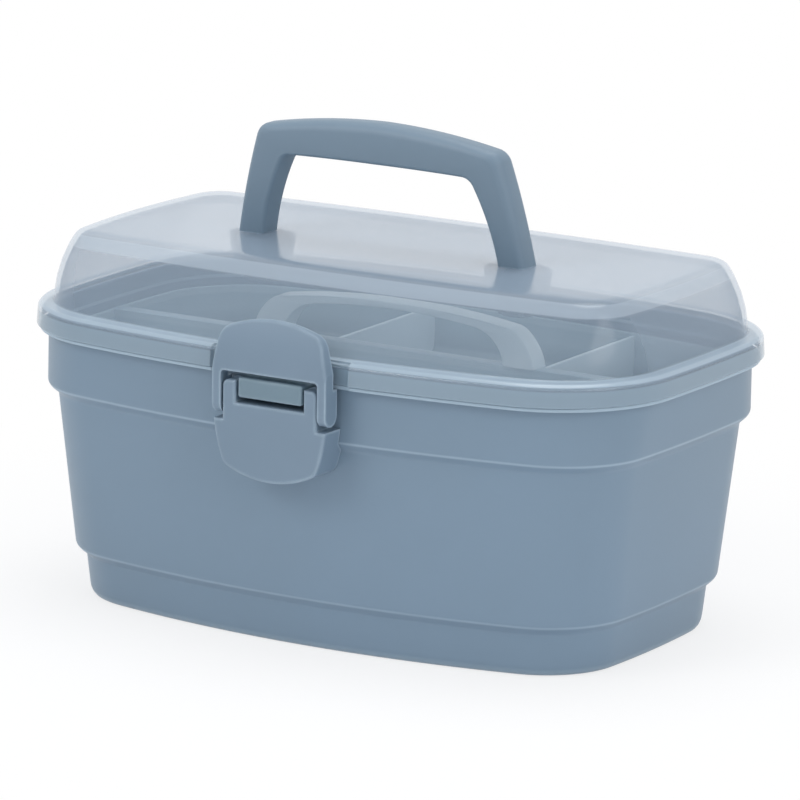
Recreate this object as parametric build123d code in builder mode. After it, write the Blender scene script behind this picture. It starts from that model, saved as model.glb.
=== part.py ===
from build123d import *
from collections import namedtuple
from math import sqrt
import os

os.makedirs("parts", exist_ok=True)

# Makeup storage case: tub, hinged see-through lid with a carry handle, front latch and lift-out tray.
# Millimetres, +Z up, origin at the middle of the tub's underside, latch at -Y, hinges at +Y.

# Tub
tub_length = 280.4  # outside, at the rim
tub_width = 174.0
tub_height = 119.5  # to the top of the upstand inside the lid's skirt
tub_wall = 2.0
floor_thickness = 2.2
side_bow = 16.4  # how far the long sides bulge from corner to middle
end_bow = 3.3
rim_corner = 49.0
band_corner = 38.0
wall_corner = 36.5
foot_corner = 35.0
band_bottom = 89.0  # lower edge of the wide upper band
foot_top = 21.5  # upper edge of the narrow foot
band_step = 3.5  # how far the band stands proud of the wall
foot_step = 3.5
band_end_draft = 2.6
band_side_draft = 1.0
wall_end_draft = 6.6
wall_side_draft = 3.7
foot_draft = 1.6
bottom_round = 5.0
bead_reach = 3.4  # rim bead that carries the lid
bead_thickness = 1.5
upstand = 6.5  # the part of the tub's wall above the bead

# Lid
seat_gap = 0.3
lid_wall = 1.6
skirt_reach = 4.7  # beyond the tub's rim
skirt_height = 7.6
skirt_lean = 0.5
ledge_round = 1.6
ledge_width = 6.8
dome_corner = 46.0
dome_rise = 28.9  # from the ledge to the top of the panel
dome_end_lean = 8.8  # how far the dome draws in at the ends
dome_side_lean = 30.0
panel_corner = 24.0
panel_side_bow = 4.0
panel_end_bow = 8.0
panel_edge_round = 4.0

# Carry handle
handle_y = -8.0
handle_depth = 16.5  # front to back at the grip
foot_depth = 13.5
foot_outside = 66.2  # from the middle to the foot's outer edge
foot_width = 12.0
grip_rise = 49.4  # crown above the panel
finger_height = 34.0  # underside of the grip above the panel
shoulder_inset = 8.6  # how far the grip's ends lie inside the feet
shoulder_fall = 6.0  # from the crown's middle to its ends
inner_inset = 9.7
grip_bulge = 1.0  # the grip's underside hangs this much lower in the middle
shoulder_round = 9.0
foot_splay = 1.6
inner_splay = 3.0
handle_edge = 3.0
peg_width = 8.0
peg_depth = 7.0
peg_end_gap = 7.5  # from the peg's end to the bottom of its socket
peg_clearance = 0.15
socket_length = 29.0
socket_width = 23.0
socket_share = 0.44  # of the height between the tray's top and the panel
socket_wall = 1.6
snap_rise = 0.6
snap_height = 2.0
snap_offset = 2.0  # above the peg's end

# Hinge
hinge_reach = 8.5  # the axis beyond the tub's rim
hinge_spacing = 90.0  # between the two hinges' middles
knuckle_radius = 4.5
knuckle_width = 12.0
arm_drop = 18.0  # height of the lugs' arms at the tub
lug_width = 4.0
hinge_side_gap = 0.4
pin_radius = 1.6
pin_clearance = 0.06
pin_head_radius = 2.8
pin_head_thickness = 1.2

# Latch
latch_reach = 10.8  # the lever's face beyond the tub's rim
lever_half_width = 26.3
lever_height = 39.6
lever_wall = 2.0
lever_lean = 3.8  # how far the lever's top lies behind its lower face
lean_height = 21.0  # where the lean starts, above the legs' ends
lever_corner = 7.0
lever_taper = 3.0
window_half_width = 22.4
window_height = 17.8
leg_drop = 16.0  # from the bead's top to the legs' ends
recess_half_width = 31.5
recess_reach = 1.9  # the face of the lid's recess beyond the tub's rim
recess_wall = 1.4
swing_gap = 0.3
stub_radius = 2.0
stub_length = 3.2
stub_clearance = 0.06
catch_gap = 1.7  # between the rib and the lid's ledge
flange_gap = 0.4  # between the lever's upper half and the lid's skirt
catch_thickness = 1.6
bracket_setback = 0.4
bracket_gap = 0.3
bracket_wall = 2.2
bracket_height = 23.5  # from the shoulder to the bottom
bracket_half_width = 26.0
shoulder_gap = 2.0  # between a lever leg's end and the bracket's shoulder
neck_gap = 0.6  # between a lever leg and the bracket's neck
prong_width = 6.0
prong_gap = 0.3  # under the bead
notch_depth = 9.0
tongue_half_width = 14.8
tongue_height = 8.2
tongue_rise = 1.4  # its top above the prongs
tongue_setback = 0.2
latch_edge = 1.0

# Tray
tray_gap = 0.5  # all round, inside the tub
tray_wall = 1.6
tray_height = 46.5
tray_drop = 11.0  # from the tub's rim to the tray's top
divider_drop = 1.0
ridge_width = 7.0
divider_wall = 1.8
rear_dividers = (-32.0, 65.0)
front_dividers = (-62.0,)
arch_half = 66.5
arch_leg = 14.5
arch_clearance = 2.8  # under the handle's sockets
arch_thickness = 3.0
arch_shoulder = 10.5  # how far the arch's ends lie inside its feet
arch_inner_shoulder = 14.0
arch_fall = 0.213  # share of the rise, from the middle to the ends
arch_inner_fall = 0.122
arch_depth = 10.0
arch_edge = 0.8
tongue_gap = 0.15
arch_tongue_depth = 8.0

# Heights and depths that follow from the sizes above
bead_top = tub_height - upstand
bead_bottom = bead_top - bead_thickness
skirt_bottom = bead_top + seat_gap
ledge_height = skirt_bottom + skirt_height + ledge_round
ledge_slope = 0.2
lid_height = ledge_height + ledge_slope + dome_rise
panel_underside = lid_height - lid_wall
tray_top = tub_height - tray_drop
tray_bottom = tray_top - tray_height
socket_depth = socket_share * (lid_height - tray_top)
peg_length = lid_wall + socket_depth - peg_end_gap
arch_top = panel_underside - socket_depth - arch_clearance
hinge_y = tub_width / 2 + hinge_reach
hinge_z = bead_top
latch_front = tub_width / 2 + latch_reach
recess_y = tub_width / 2 + recess_reach
leg_bottom = bead_top - leg_drop
lever_top = leg_bottom + lever_height
lean_start = leg_bottom + lean_height
window_top = leg_bottom + window_height
prong_top = bead_bottom - prong_gap

Level = namedtuple("Level", "half_length half_width corner height side_bow end_bow")


def inset(level, amount, height, corner=None):
    """The plan moved inwards all round, at another height."""
    corner = level.corner - amount if corner is None else corner
    return Level(
        level.half_length - amount,
        level.half_width - amount,
        corner,
        height,
        level.side_bow,
        level.end_bow,
    )


def drafted(level, end_draft, side_draft, corner, height):
    """The plan drawn in by its own amount at the ends and at the sides."""
    return Level(
        level.half_length - end_draft,
        level.half_width - side_draft,
        corner,
        height,
        level.side_bow,
        level.end_bow,
    )


def outline(level):
    """Plan of the case at one height: four bowed sides joined by round corners."""
    end_x = level.half_length - level.end_bow
    side_y = level.half_width - level.side_bow
    corners = [(-end_x, -side_y), (end_x, -side_y), (end_x, side_y), (-end_x, side_y)]
    middles = [
        (0, -level.half_width),
        (level.half_length, 0),
        (0, level.half_width),
        (-level.half_length, 0),
    ]
    with BuildSketch(Plane.XY.offset(level.height)) as plan:
        with BuildLine():
            for i, middle in enumerate(middles):
                ThreePointArc(corners[i], middle, corners[(i + 1) % 4])
        make_face()
        fillet(plan.vertices(), level.corner)
    return plan.sketch


def shell_levels(levels, amount):
    """Outlines of a drafted, stepped shell, moved inwards all round by one amount."""
    return [outline(inset(level, amount, level.height)) for level in levels]


# Tub levels, from the rim down. Both steps are undercut at 45 degrees.
rim = Level(tub_length / 2, tub_width / 2, rim_corner, tub_height, side_bow, end_bow)
band_low = drafted(rim, band_end_draft, band_side_draft, band_corner, band_bottom)
wall_high = inset(band_low, band_step, band_bottom - band_step, band_corner - band_step / 2)
wall_low = drafted(wall_high, wall_end_draft, wall_side_draft, wall_corner, foot_top)
foot_high = inset(wall_low, foot_step, foot_top - foot_step, foot_corner)
foot_low = inset(foot_high, foot_draft, 0, foot_corner)
tub_levels = [foot_low, foot_high, wall_low, wall_high, band_low, rim]

# The inside follows the outside. On the 45 degree steps it lies higher, to keep the wall.
step_rise = tub_wall * (sqrt(2) - 1)
cavity_levels = [
    foot_low._replace(height=floor_thickness),
    foot_high._replace(height=foot_high.height + step_rise),
    wall_low._replace(height=wall_low.height + step_rise),
    wall_high._replace(height=wall_high.height + step_rise),
    band_low._replace(height=band_low.height + step_rise),
    rim,
]

with BuildPart() as cavity:
    loft(shell_levels(cavity_levels, tub_wall), ruled=True)
    fillet(cavity.faces().sort_by(Axis.Z)[0].edges(), bottom_round - tub_wall)


def hinge_arm(x, root_y, arm_bottom, arm_top):
    """Side view of a hinge lug: a round eye on an arm that runs forward to the shell."""
    with BuildSketch(Plane.YZ.offset(x)) as arm:
        with BuildLine():
            Polyline(
                (root_y, arm_top),
                (hinge_y, arm_top),
                (hinge_y, hinge_z - knuckle_radius),
                (root_y, arm_bottom),
                close=True,
            )
        make_face()
        with Locations((hinge_y, hinge_z)):
            Circle(knuckle_radius)
    return arm.sketch


def hinge_bore(x, radius):
    with BuildSketch(Plane.YZ.offset(x)) as bore:
        with Locations((hinge_y, hinge_z)):
            Circle(radius)
    return bore.sketch


lug_offset = knuckle_width / 2 + hinge_side_gap
hinge_centres = (-hinge_spacing / 2, hinge_spacing / 2)
bracket_front = latch_front - bracket_setback
bead_level = inset(rim, -bead_reach, bead_bottom)
ear_root_y = tub_width / 2 - side_bow / 2

with BuildPart() as tub:
    loft(shell_levels(tub_levels, 0), ruled=True)
    fillet(tub.faces().sort_by(Axis.Z)[0].edges(), bottom_round)
    extrude(outline(bead_level), amount=bead_thickness)
    # The bead is cut back behind the latch lever
    with BuildSketch(Plane.XY.offset(bead_bottom)):
        with Locations((0, -(recess_y - swing_gap))):
            Rectangle(2 * recess_half_width, 2 * bead_reach, align=(Align.CENTER, Align.MAX))
    extrude(amount=bead_thickness, mode=Mode.SUBTRACT)
    # Hinge lugs, two for each hinge
    for centre in hinge_centres:
        for lug_x in (centre - lug_offset - lug_width, centre + lug_offset):
            arm = hinge_arm(lug_x, ear_root_y, hinge_z - arm_drop, bead_bottom)
            extrude(arm, amount=lug_width)
        bore = hinge_bore(centre - lug_offset - lug_width, pin_radius + pin_clearance)
        extrude(bore, amount=2 * (lug_offset + lug_width), mode=Mode.SUBTRACT)
    # Tongue that stands in the bracket's notch
    with BuildSketch(Plane.XZ.offset(0)):
        with Locations((0, prong_top + tongue_rise - tongue_height / 2)):
            RectangleRounded(2 * tongue_half_width, tongue_height, latch_edge)
    extrude(amount=bracket_front - tongue_setback)
    add(cavity.part, mode=Mode.SUBTRACT)
tub.part.label = "tub"
export_step(tub.part, "parts/tub.step")

# Lid levels, from the skirt's lower edge up
skirt_low = inset(rim, -skirt_reach, skirt_bottom)
skirt_high = inset(skirt_low, skirt_lean, skirt_bottom + skirt_height)
ledge_edge = inset(skirt_high, ledge_round, ledge_height)
ledge_inner = inset(skirt_low, ledge_width, ledge_height + ledge_slope, dome_corner)
panel = drafted(ledge_inner, dome_end_lean, dome_side_lean, panel_corner, lid_height)
panel = panel._replace(side_bow=panel_side_bow, end_bow=panel_end_bow)
lid_levels = [skirt_low, skirt_high, ledge_edge, ledge_inner, panel]
inside_levels = [skirt_low] + [
    level._replace(height=level.height - lid_wall) for level in lid_levels[1:]
]
peg_x = foot_outside - foot_width / 2

with BuildPart() as lid:
    loft(shell_levels(lid_levels, 0), ruled=True)
    fillet(lid.faces().sort_by(Axis.Z)[-1].edges(), panel_edge_round)
    loft(shell_levels(inside_levels, lid_wall), ruled=True, mode=Mode.SUBTRACT)
    # Recess in the skirt for the latch lever: a pad, then a pocket in its face
    pad_half_width = recess_half_width + recess_wall
    with BuildSketch(Plane.XY.offset(skirt_bottom)):
        with Locations((0, -(recess_y - recess_wall))):
            Rectangle(2 * pad_half_width, 3.0, align=(Align.CENTER, Align.MAX))
    extrude(amount=skirt_height)
    with BuildSketch(Plane.XY.offset(skirt_bottom)):
        with Locations((0, -recess_y)):
            Rectangle(2 * recess_half_width, 2 * skirt_reach, align=(Align.CENTER, Align.MAX))
    extrude(amount=ledge_inner.height - skirt_bottom, mode=Mode.SUBTRACT)
    # Hinge knuckles, one for each hinge
    knuckle_root_y = tub_width / 2 + skirt_reach - side_bow * 0.15
    for centre in hinge_centres:
        knuckle_x = centre - knuckle_width / 2
        with BuildSketch(Plane.YZ.offset(knuckle_x)):
            with Locations((hinge_y, hinge_z)):
                Circle(knuckle_radius)
            with Locations((knuckle_root_y, skirt_bottom)):
                Rectangle(
                    hinge_y - knuckle_root_y,
                    hinge_z + knuckle_radius - skirt_bottom,
                    align=(Align.MIN, Align.MIN),
                )
        extrude(amount=knuckle_width)
        extrude(
            hinge_bore(knuckle_x, pin_radius + pin_clearance),
            amount=knuckle_width,
            mode=Mode.SUBTRACT,
        )
    # Holes for the handle's pegs
    with BuildSketch(Plane.XY.offset(panel_underside - 1)):
        with Locations((-peg_x, handle_y), (peg_x, handle_y)):
            Rectangle(peg_width + 2 * peg_clearance, peg_depth + 2 * peg_clearance)
    extrude(amount=lid_wall + 2, mode=Mode.SUBTRACT)
lid.part.label = "lid"
export_step(lid.part, "parts/lid.step")

# Carry handle: front view drawn on the XZ plane, then narrowed towards the feet
foot_inside = foot_outside - foot_width
shoulder_half = foot_outside - shoulder_inset
shoulder_rise = grip_rise - shoulder_fall
inner_half = foot_inside - inner_inset
inner_rise = finger_height + grip_bulge
with BuildPart() as carry_handle:
    with BuildSketch(Plane.XZ.offset(-handle_y)) as front_view:
        with BuildLine(Location((0, lid_height))):
            crown = ThreePointArc(
                (-shoulder_half, shoulder_rise), (0, grip_rise), (shoulder_half, shoulder_rise)
            )
            ThreePointArc(
                crown @ 1, (foot_outside - foot_splay, shoulder_rise * 0.31), (foot_outside, 0)
            )
            Line((foot_outside, 0), (foot_inside, 0))
            ThreePointArc(
                (foot_inside, 0),
                (foot_inside - inner_splay, finger_height * 0.42),
                (inner_half, inner_rise),
            )
            ThreePointArc(
                (inner_half, inner_rise), (0, finger_height), (-inner_half, inner_rise)
            )
            ThreePointArc(
                (-inner_half, inner_rise),
                (-foot_inside + inner_splay, finger_height * 0.42),
                (-foot_inside, 0),
            )
            Line((-foot_inside, 0), (-foot_outside, 0))
            ThreePointArc(
                (-foot_outside, 0), (-foot_outside + foot_splay, shoulder_rise * 0.31), crown @ 0
            )
        make_face()
        tops = front_view.vertices().filter_by_position(
            Axis.Y, lid_height + finger_height / 2, lid_height + grip_rise
        )
        fillet(tops, shoulder_round)
    extrude(amount=handle_depth / 2, both=True)
    # Side view: full depth at the grip, less at the feet
    with BuildSketch(Plane.YZ):
        with BuildLine():
            Polyline(
                (handle_y - foot_depth / 2, lid_height),
                (handle_y - handle_depth / 2, lid_height + finger_height),
                (handle_y - handle_depth / 2, lid_height + grip_rise + 1),
                (handle_y + handle_depth / 2, lid_height + grip_rise + 1),
                (handle_y + handle_depth / 2, lid_height + finger_height),
                (handle_y + foot_depth / 2, lid_height),
                close=True,
            )
        make_face()
    extrude(amount=foot_outside + 1, both=True, mode=Mode.INTERSECT)
    feet = carry_handle.faces().filter_by(Plane.XY).group_by(Axis.Z)[0]
    long_edges = carry_handle.edges() - feet.edges()
    fillet(long_edges.filter_by(lambda edge: abs(edge.center().Y - handle_y) > 1), handle_edge)
    # Pegs that pass through the panel into the sockets, each with a snap ridge
    with BuildSketch(Plane.XY.offset(lid_height)):
        with Locations((-peg_x, handle_y), (peg_x, handle_y)):
            Rectangle(peg_width, peg_depth)
    extrude(amount=-peg_length)
    with BuildSketch(Plane.XY.offset(lid_height - peg_length + snap_offset)):
        with Locations((-peg_x, handle_y), (peg_x, handle_y)):
            Rectangle(peg_width, peg_depth + 2 * snap_rise)
    extrude(amount=snap_height)
carry_handle.part.label = "carry_handle"
export_step(carry_handle.part, "parts/carry_handle.step")


# Bowl-shaped sockets under the panel, each with a collar that grips one peg
def bowl(depth, trim):
    """Sections of the bowl, from the panel down, moved in by a trim."""
    sections = []
    for share, fall in ((1.0, 0.0), (0.92, 0.35), (0.74, 0.72), (0.45, 1.0)):
        with BuildSketch(Plane.XY.offset(panel_underside - fall * depth)) as section:
            with Locations((peg_x, handle_y)):
                Ellipse(socket_length / 2 * share - trim, socket_width / 2 * share - trim)
        sections.append(section.sketch)
    return sections


with BuildPart() as socket_right:
    loft(bowl(socket_depth, 0))
    loft(bowl(socket_depth - socket_wall, socket_wall), mode=Mode.SUBTRACT)
    with BuildSketch(Plane.XY.offset(panel_underside)):
        with Locations((peg_x, handle_y)):
            Rectangle(peg_width + 2 * socket_wall, peg_depth + 2 * (socket_wall + snap_rise))
    extrude(amount=-(socket_depth - socket_wall / 2))
    with BuildSketch(Plane.XY.offset(panel_underside)):
        with Locations((peg_x, handle_y)):
            Rectangle(peg_width + 2 * peg_clearance, peg_depth + 2 * peg_clearance)
    extrude(amount=-(peg_length - lid_wall + 0.5), mode=Mode.SUBTRACT)
    with BuildSketch(Plane.XY.offset(lid_height - peg_length + snap_offset - peg_clearance)):
        with Locations((peg_x, handle_y)):
            Rectangle(
                peg_width + 2 * peg_clearance, peg_depth + 2 * (snap_rise + peg_clearance)
            )
    extrude(amount=snap_height + 2 * peg_clearance, mode=Mode.SUBTRACT)
socket_right.part.label = "handle_socket_right"
export_step(socket_right.part, "parts/handle_socket_right.step")

with BuildPart() as socket_left:
    mirror(socket_right.part, about=Plane.YZ)
socket_left.part.label = "handle_socket_left"
export_step(socket_left.part, "parts/handle_socket_left.step")

# Hinge pins, each with a head outside its outer lug
for side, centre in zip(("left", "right"), hinge_centres):
    pin_start = centre - lug_offset - lug_width
    pin_length = 2 * (lug_offset + lug_width)
    with BuildPart() as hinge_pin:
        extrude(hinge_bore(pin_start, pin_radius), amount=pin_length)
        head = hinge_bore(pin_start - 0.1, pin_head_radius)
        extrude(head, amount=-pin_head_thickness)
        extrude(hinge_bore(pin_start - 0.1, pin_radius), amount=0.1)
        fillet(hinge_pin.edges().group_by(Axis.X)[0], pin_head_thickness / 2)
    hinge_pin.part.label = "hinge_pin_" + side
    export_step(hinge_pin.part, "parts/hinge_pin_" + side + ".step")

# Latch lever. Its side view has a straight lower face and a top that leans back over the lid's ledge.
lever_back = recess_y + swing_gap
pivot_y = -(latch_front + lever_back) / 2
leg_radius = (latch_front - lever_back) / 2
pivot_z = leg_bottom + leg_radius


def lever_side(trim, bottom, back_points):
    """Side view of the lever, moved in from its front by a trim. Its back is given by points, from the top down."""
    front = -latch_front + trim
    top = lever_top + 1
    with BuildSketch(Plane.YZ) as side_view:
        with BuildLine():
            Line((front, bottom), (front, lean_start))
            ThreePointArc(
                (front, lean_start),
                (front + lever_lean * 0.22, (lean_start + top) / 2),
                (front + lever_lean, top),
            )
            Polyline((front + lever_lean, top), *back_points, (front, bottom))
        make_face()
    return side_view.sketch


def lever_front(trim):
    """Front view of the lever: straight legs and a round-shouldered, arched top."""
    half = lever_half_width - trim
    top_half = half - lever_taper
    shoulder = lever_top - 5.0
    with BuildSketch(Plane.XZ.offset(lever_back - 1)) as front_view:
        with BuildLine():
            Polyline(
                (-top_half, shoulder - trim),
                (-half, lean_start),
                (-half, leg_bottom),
                (half, leg_bottom),
                (half, lean_start),
                (top_half, shoulder - trim),
            )
            ThreePointArc(
                (top_half, shoulder - trim),
                (0, lever_top - trim),
                (-top_half, shoulder - trim),
            )
        make_face()
        fillet(front_view.vertices().group_by(Axis.Y)[-1], lever_corner - trim)
    return front_view.sketch


upper_back = tub_width / 2 + skirt_reach + flange_gap
back_steps = [
    (-upper_back, lever_top + 1),
    (-upper_back, bead_bottom),
    (-lever_back, bead_bottom),
    (-lever_back, pivot_z),
]
pocket_bottom = window_top + lever_wall
pocket_back = [(-recess_y, lever_top + 1), (-recess_y, pocket_bottom)]

with BuildPart() as lever_pocket:
    pocket_side = lever_side(lever_wall, pocket_bottom, pocket_back)
    extrude(pocket_side, amount=lever_half_width, both=True)
    extrude(lever_front(lever_wall), amount=latch_front, mode=Mode.INTERSECT)

with BuildPart() as latch_lever:
    extrude(lever_side(0, pivot_z, back_steps), amount=lever_half_width, both=True)
    # Round leg ends about the pivot
    with BuildSketch(Plane.YZ):
        with Locations((pivot_y, pivot_z)):
            Circle(leg_radius)
    extrude(amount=lever_half_width, both=True)
    extrude(lever_front(0), amount=latch_front, mode=Mode.INTERSECT)
    face = latch_lever.faces().sort_by(Axis.Y)[0]
    leaning = latch_lever.faces().sort_by(Axis.Y)[1]
    fillet((leaning.edges() - face.edges()), latch_edge)
    add(lever_pocket.part, mode=Mode.SUBTRACT)
    # Window between the legs
    with BuildSketch(Plane.XZ.offset(lever_back - 1)) as window:
        with Locations((0, leg_bottom - 1)):
            Rectangle(
                2 * window_half_width,
                window_top - leg_bottom + 1,
                align=(Align.CENTER, Align.MIN),
            )
        fillet(window.vertices().group_by(Axis.Y)[-1], 1.6)
    extrude(amount=latch_front, mode=Mode.SUBTRACT)
    # Catch rib that snaps over the lid's ledge
    with BuildSketch(Plane.XZ.offset(upper_back)):
        with Locations((0, ledge_inner.height + catch_gap)):
            Rectangle(
                1.6 * window_half_width, catch_thickness, align=(Align.CENTER, Align.MIN)
            )
    extrude(amount=latch_front - upper_back - lever_wall)
    # Stub pins on the legs' inner faces
    for side in (-1, 1):
        with BuildSketch(Plane.YZ.offset(side * (window_half_width + 0.5))):
            with Locations((pivot_y, pivot_z)):
                Circle(stub_radius)
        extrude(amount=-side * (stub_length + 0.5))
latch_lever.part.label = "latch_lever"
export_step(latch_lever.part, "parts/latch_lever.step")

# Latch bracket: a shield with a neck and two prongs, cut to sit on the stepped wall
neck_half = window_half_width - neck_gap
shoulder_z = leg_bottom - shoulder_gap
notch_half = neck_half - prong_width
bracket_bottom = shoulder_z - bracket_height
corner_z = bracket_bottom + 5.5
corner_half = bracket_half_width - 4.6


def shield(trim):
    """Lower part of the bracket's front view, moved in by a trim."""
    half = bracket_half_width - trim
    with BuildSketch(Plane.XZ) as front_view:
        with BuildLine():
            Line((-half, shoulder_z - trim), (half, shoulder_z - trim))
            ThreePointArc(
                (half, shoulder_z - trim),
                (half - 1.6, (shoulder_z + corner_z) / 2),
                (corner_half - trim, corner_z + trim),
            )
            ThreePointArc(
                (corner_half - trim, corner_z + trim),
                (0, bracket_bottom + trim),
                (-corner_half + trim, corner_z + trim),
            )
            ThreePointArc(
                (-corner_half + trim, corner_z + trim),
                (-half + 1.6, (shoulder_z + corner_z) / 2),
                (-half, shoulder_z - trim),
            )
        make_face()
        fillet(front_view.vertices().group_by(Axis.Y)[-2], 5 - trim)
    return front_view.sketch


with BuildPart() as tub_envelope:
    loft(shell_levels(tub_levels, -bracket_gap), ruled=True)

with BuildPart() as shield_pocket:
    extrude(shield(bracket_wall), amount=bracket_front - bracket_wall)

with BuildPart() as latch_bracket:
    extrude(shield(0), amount=bracket_front)
    with BuildSketch(Plane.XZ) as neck:
        with Locations((0, shoulder_z - 1)):
            Rectangle(2 * neck_half, prong_top - shoulder_z + 1, align=(Align.CENTER, Align.MIN))
        fillet(neck.vertices().group_by(Axis.Y)[-1], 2.6)
        with Locations((0, prong_top)):
            Rectangle(
                2 * notch_half, 2 * notch_depth, align=(Align.CENTER, Align.CENTER), mode=Mode.SUBTRACT
            )
    extrude(amount=bracket_front)
    front_face = latch_bracket.faces().filter_by(Axis.Y).sort_by(Axis.Y)[0]
    fillet(front_face.edges(), latch_edge)
    add(shield_pocket.part, mode=Mode.SUBTRACT)
    add(tub_envelope.part, mode=Mode.SUBTRACT)
    # Side bores for the lever's stub pins
    for side in (-1, 1):
        with BuildSketch(Plane.YZ.offset(side * neck_half)):
            with Locations((pivot_y, pivot_z)):
                Circle(stub_radius + stub_clearance)
        extrude(amount=-side * (stub_length - neck_gap + 0.4), mode=Mode.SUBTRACT)
latch_bracket.part.label = "latch_bracket"
export_step(latch_bracket.part, "parts/latch_bracket.step")

# Tray: its outside follows the tub's inside, so its step rests on the tub's step
tray_inset = tub_wall + tray_gap
seat_levels = [cavity_levels[2], cavity_levels[3], cavity_levels[4], rim]


def between(lower, upper, height):
    """The plan at a height between two levels of a straight wall."""
    share = (height - lower.height) / (upper.height - lower.height)
    mixed = [a + (b - a) * share for a, b in zip(lower, upper)]
    return Level(*mixed)


tray_low = between(seat_levels[0], seat_levels[1], tray_bottom)
tray_high = between(seat_levels[2], seat_levels[3], tray_top)
tray_levels = [tray_low, seat_levels[1], seat_levels[2], tray_high]
tray_inside = [
    tray_low._replace(height=tray_bottom + tray_wall),
    seat_levels[1]._replace(height=seat_levels[1].height + tray_wall * (sqrt(2) - 1)),
    seat_levels[2]._replace(height=seat_levels[2].height + tray_wall * (sqrt(2) - 1)),
    tray_high,
]

with BuildPart() as tray_body:
    loft(shell_levels(tray_levels, tray_inset), ruled=True)
    fillet(tray_body.faces().sort_by(Axis.Z)[0].edges(), 4)

with BuildPart() as tray_hollow:
    loft(shell_levels(tray_inside, tray_inset + tray_wall), ruled=True)
    fillet(tray_hollow.faces().sort_by(Axis.Z)[0].edges(), 2.5)

with BuildPart() as tray_walls:
    divider_top = tray_top - divider_drop
    with BuildSketch(Plane.XY.offset(tray_bottom + tray_wall / 2)):
        Rectangle(tub_length, ridge_width)
    extrude(amount=tray_top - tray_bottom - tray_wall / 2)
    with BuildSketch(Plane.XY.offset(tray_bottom + tray_wall / 2)):
        with Locations(*[(x, 0) for x in rear_dividers]):
            Rectangle(divider_wall, tub_width / 2, align=(Align.CENTER, Align.MIN))
        with Locations(*[(x, 0) for x in front_dividers]):
            Rectangle(divider_wall, tub_width / 2, align=(Align.CENTER, Align.MAX))
    extrude(amount=divider_top - tray_bottom - tray_wall / 2)
    add(tray_body.part, mode=Mode.INTERSECT)

slot_width = ridge_width - 2 * divider_wall
arch_middle = arch_half - arch_leg / 2
tongue_length = arch_leg - 4.0

with BuildPart() as tray:
    add(tray_body.part)
    add(tray_hollow.part, mode=Mode.SUBTRACT)
    add(tray_walls.part)
    # The ridge is an upturned channel, open underneath
    with BuildSketch(Plane.XY.offset(tray_bottom - 1)):
        Rectangle(2 * (arch_half + 8), slot_width)
    extrude(amount=tray_top - divider_wall - tray_bottom + 1, mode=Mode.SUBTRACT)
    # Slots for the arch's tongues
    with BuildSketch(Plane.XY.offset(tray_top - divider_wall - 1)):
        with Locations((-arch_middle, 0), (arch_middle, 0)):
            Rectangle(tongue_length + 2 * tongue_gap, slot_width)
    extrude(amount=divider_wall + 2, mode=Mode.SUBTRACT)
tray.part.label = "tray"
export_step(tray.part, "parts/tray.step")

# Tray handle: an arch on the ridge, wider at its legs
arch_rise = arch_top - tray_top
arch_end = arch_half - arch_shoulder
arch_end_z = arch_top - arch_fall * arch_rise
leg_inside = arch_half - arch_leg
under_end = leg_inside - arch_inner_shoulder
under_top = arch_top - arch_thickness
under_end_z = under_top - arch_inner_fall * arch_rise
outer_middle = (arch_half - 0.23 * arch_shoulder, tray_top + 0.355 * arch_rise)
inner_middle = (leg_inside - 0.21 * arch_inner_shoulder, tray_top + 0.385 * arch_rise)
with BuildPart() as tray_handle:
    with BuildSketch(Plane.XZ) as arch:
        with BuildLine() as half_arch:
            Line((0, under_top), (0, arch_top))
            ThreePointArc((0, arch_top), (arch_end / 2, arch_top - 0.053 * arch_rise), (arch_end, arch_end_z))
            ThreePointArc((arch_end, arch_end_z), outer_middle, (arch_half, tray_top))
            Line((arch_half, tray_top), (leg_inside, tray_top))
            ThreePointArc((leg_inside, tray_top), inner_middle, (under_end, under_end_z))
            ThreePointArc(
                (under_end, under_end_z), (under_end / 2, under_top - 0.031 * arch_rise), (0, under_top)
            )
        make_face()
        mirror(about=Plane.YZ)
    extrude(amount=arch_depth / 2, both=True)
    feet = tray_handle.faces().filter_by(Plane.XY).group_by(Axis.Z)[0]
    rims = (tray_handle.edges() - feet.edges()).filter_by(
        lambda edge: abs(edge.center().Y) > arch_depth / 4
    )
    fillet(rims, arch_edge)
    with BuildSketch(Plane.XY.offset(tray_top)):
        with Locations((-arch_middle, 0), (arch_middle, 0)):
            Rectangle(tongue_length, slot_width - 2 * tongue_gap)
    extrude(amount=-arch_tongue_depth)
tray_handle.part.label = "tray_handle"
export_step(tray_handle.part, "parts/tray_handle.step")
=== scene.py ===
import math

import bmesh
import bpy
from mathutils import Matrix, Vector


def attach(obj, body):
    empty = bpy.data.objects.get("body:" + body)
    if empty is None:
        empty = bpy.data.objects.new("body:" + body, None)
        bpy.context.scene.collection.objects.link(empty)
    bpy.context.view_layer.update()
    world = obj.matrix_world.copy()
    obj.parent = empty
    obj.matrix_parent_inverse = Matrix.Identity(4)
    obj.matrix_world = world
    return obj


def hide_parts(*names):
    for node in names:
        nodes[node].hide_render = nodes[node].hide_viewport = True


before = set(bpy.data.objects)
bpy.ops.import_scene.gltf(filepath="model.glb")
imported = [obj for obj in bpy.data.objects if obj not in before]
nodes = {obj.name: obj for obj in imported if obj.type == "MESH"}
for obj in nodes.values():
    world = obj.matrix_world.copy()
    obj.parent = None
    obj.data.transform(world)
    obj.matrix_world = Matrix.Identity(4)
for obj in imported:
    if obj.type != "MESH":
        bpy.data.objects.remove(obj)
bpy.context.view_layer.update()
print("stage: frame loaded, nodes", len(nodes))

mm = 0.001  # sizes below are in mm, and Blender's are in metres


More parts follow.
